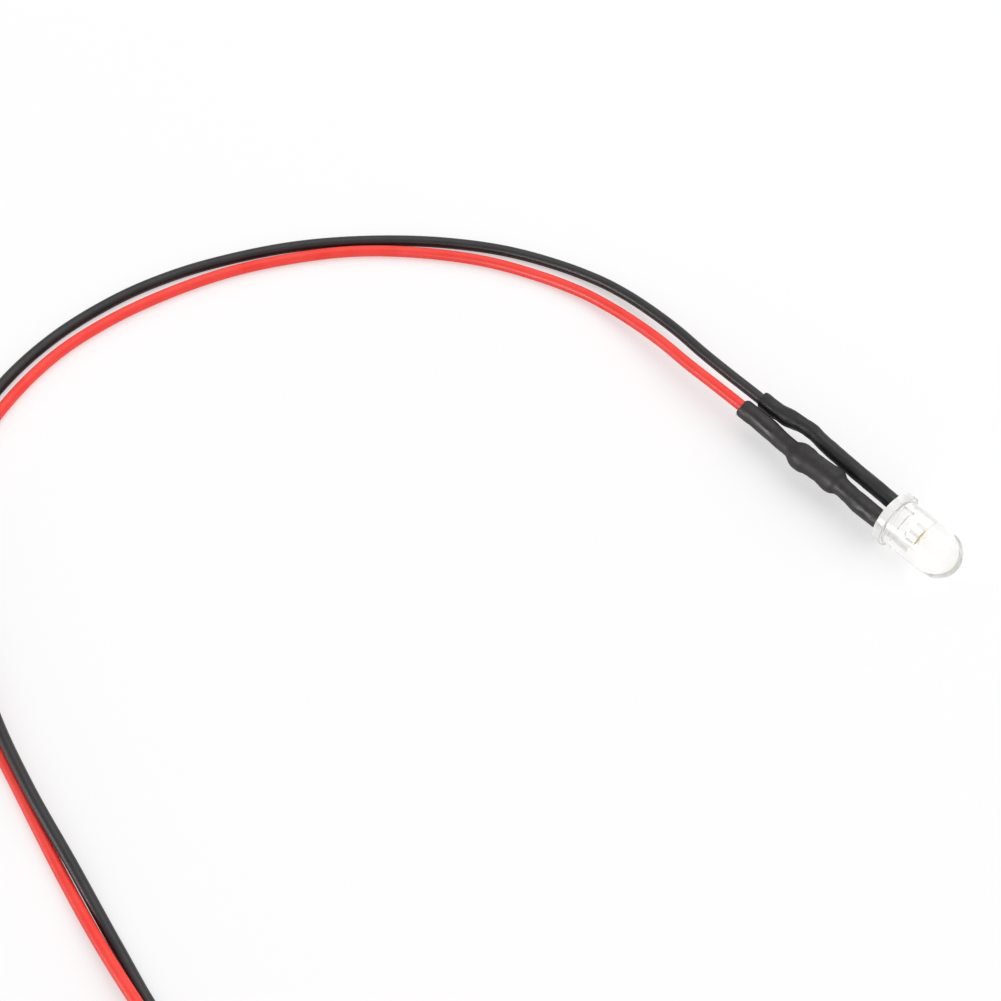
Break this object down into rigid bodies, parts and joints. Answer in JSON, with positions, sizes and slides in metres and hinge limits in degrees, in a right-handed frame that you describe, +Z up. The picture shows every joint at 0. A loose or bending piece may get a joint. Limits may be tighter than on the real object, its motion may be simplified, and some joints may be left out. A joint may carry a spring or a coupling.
{
  "type": "through hole led",
  "caption": "Round water-clear light-emitting diode with a flange, ready wired: resistor in the anode's shrunk sleeve, plain joint in the cathode's, red and black wires with tinned ends.",
  "frame": {"origin": "on the lens axis, at the front face of the flange", "axes": "+X along the lens axis, the way the light leaves; +Z up from the surface that the part lies on; +Y towards the cathode"},
  "size_m": [0.1017, 0.0927, 0.0058],
  "materials": {
    "clear_epoxy": "clear cast epoxy, polished",
    "lead_frame": "tinned and bright",
    "chip": "polished",
    "phosphor": "matt",
    "bond_wire": "bright gold",
    "resistor_ceramic": "matt",
    "resistor_lacquer": "lacquered",
    "resistor_metal": "tinned",
    "solder": "satin",
    "tinned_strands": "tinned, satin",
    "shrunk_sleeve": "satin, shrunk",
    "red_insulation": "satin",
    "black_insulation": "satin"
  },
  "bodies": {
    "root": {"lens": "clear_epoxy", "cathode_lead": "lead_frame", "anode_lead": "lead_frame", "led_chip": "chip", "phosphor": "phosphor", "anode_bond_wire": "bond_wire", "cathode_bond_wire": "bond_wire", "resistor_core": "resistor_ceramic", "resistor_coat": "resistor_lacquer", "resistor_front_lead": "resistor_metal", "resistor_rear_lead": "resistor_metal", "front_solder_joint": "solder", "rear_solder_joint": "solder", "cathode_solder_joint": "solder", "red_wire_strands": "tinned_strands", "black_wire_strands": "tinned_strands", "anode_sleeve": "shrunk_sleeve", "cathode_sleeve": "shrunk_sleeve", "red_wire": "red_insulation", "black_wire": "black_insulation", "red_wire_tip": "tinned_strands", "black_wire_tip": "tinned_strands"}
  },
  "joints": []
}
